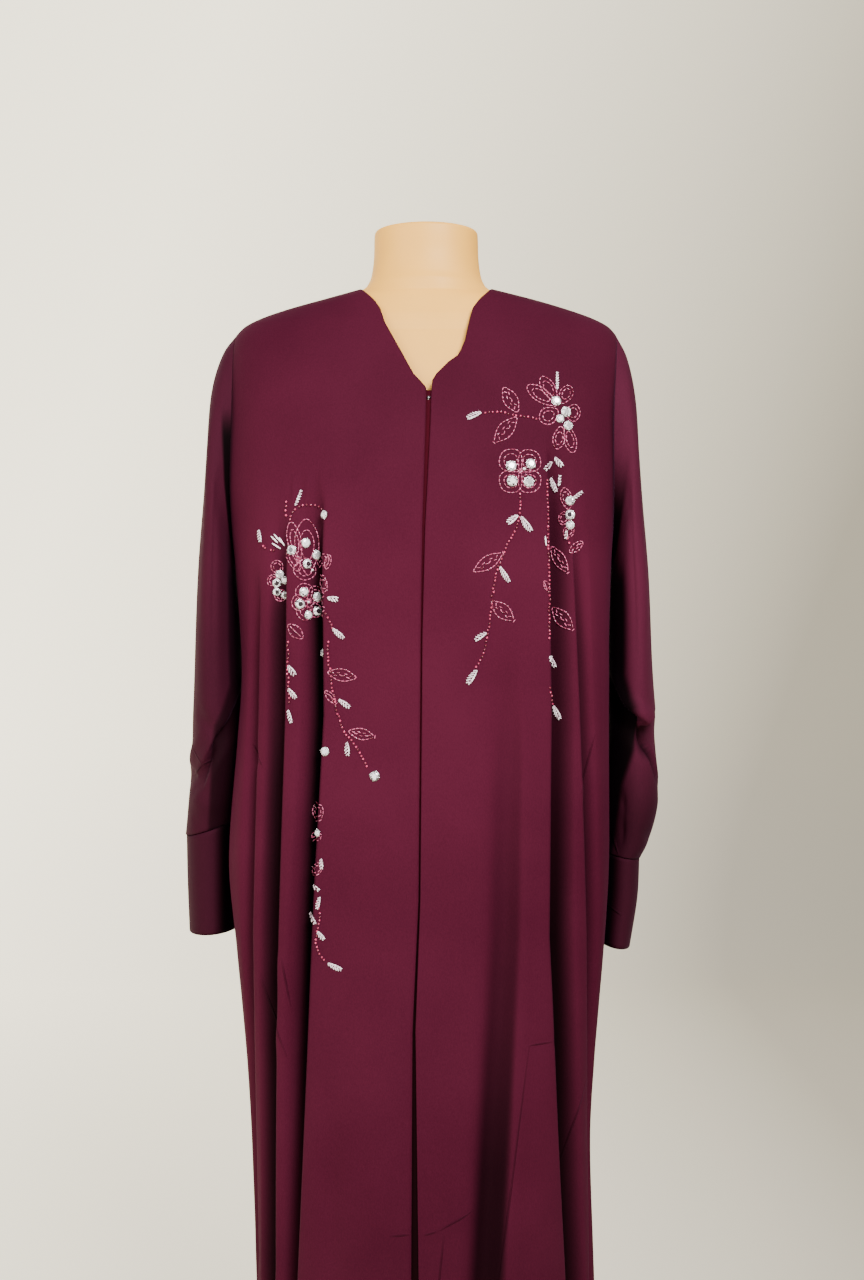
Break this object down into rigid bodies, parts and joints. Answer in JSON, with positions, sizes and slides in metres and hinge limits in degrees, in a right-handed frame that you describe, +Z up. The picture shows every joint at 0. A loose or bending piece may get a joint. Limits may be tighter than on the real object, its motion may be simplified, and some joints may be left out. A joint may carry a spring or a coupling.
{
  "type": "abaya on dress form",
  "caption": "Full-length burgundy abaya with an open front and beaded flower embroidery, worn by a limbless dress form on a round stand",
  "frame": {"origin": "centre of the stand base's underside, on the floor", "axes": "+Z up, the front faces -Y, +X is the wearer's left"},
  "size_m": [0.489, 0.3459, 1.505],
  "materials": {
    "cloth": "matte crepe with a soft sheen",
    "sleeve_cloth": "matte crepe with a soft sheen",
    "placket_cloth": "matte crepe",
    "snap_metal": "polished",
    "crystal": "cut glass with a mirrored back",
    "bead": "shiny seed and bugle beads",
    "silver_bead": "silver-lined white beads",
    "form": "beige skin, satin",
    "stand": "polished steel",
    "base": "brushed"
  },
  "bodies": {
    "root": {"front_right": "cloth", "front_left": "cloth", "back": "cloth", "sleeve_right": "sleeve_cloth", "sleeve_left": "sleeve_cloth", "cuff_right": "sleeve_cloth", "cuff_left": "sleeve_cloth", "placket": "placket_cloth", "snap": "snap_metal", "crystal_left_1": "crystal", "crystal_left_2": "crystal", "crystal_left_3": "crystal", "crystal_left_4": "crystal", "crystal_left_5": "crystal", "crystal_left_6": "crystal", "crystal_left_7": "crystal", "crystal_left_8": "crystal", "crystal_left_9": "crystal", "crystal_left_10": "crystal", "crystal_left_11": "crystal", "crystal_right_12": "crystal", "crystal_right_13": "crystal", "crystal_right_14": "crystal", "crystal_right_15": "crystal", "crystal_right_16": "crystal", "crystal_right_17": "crystal", "crystal_right_18": "crystal", "crystal_right_19": "crystal", "crystal_right_20": "crystal", "crystal_right_21": "crystal", "crystal_right_22": "crystal", "crystal_right_23": "crystal", "crystal_right_24": "crystal", "crystal_right_25": "crystal", "crystal_right_26": "crystal", "crystal_right_27": "crystal", "crystal_right_28": "crystal", "crystal_right_29": "crystal", "crystal_right_30": "crystal", "form": "form", "stand_pole": "stand", "stand_base": "base"}
  },
  "joints": []
}
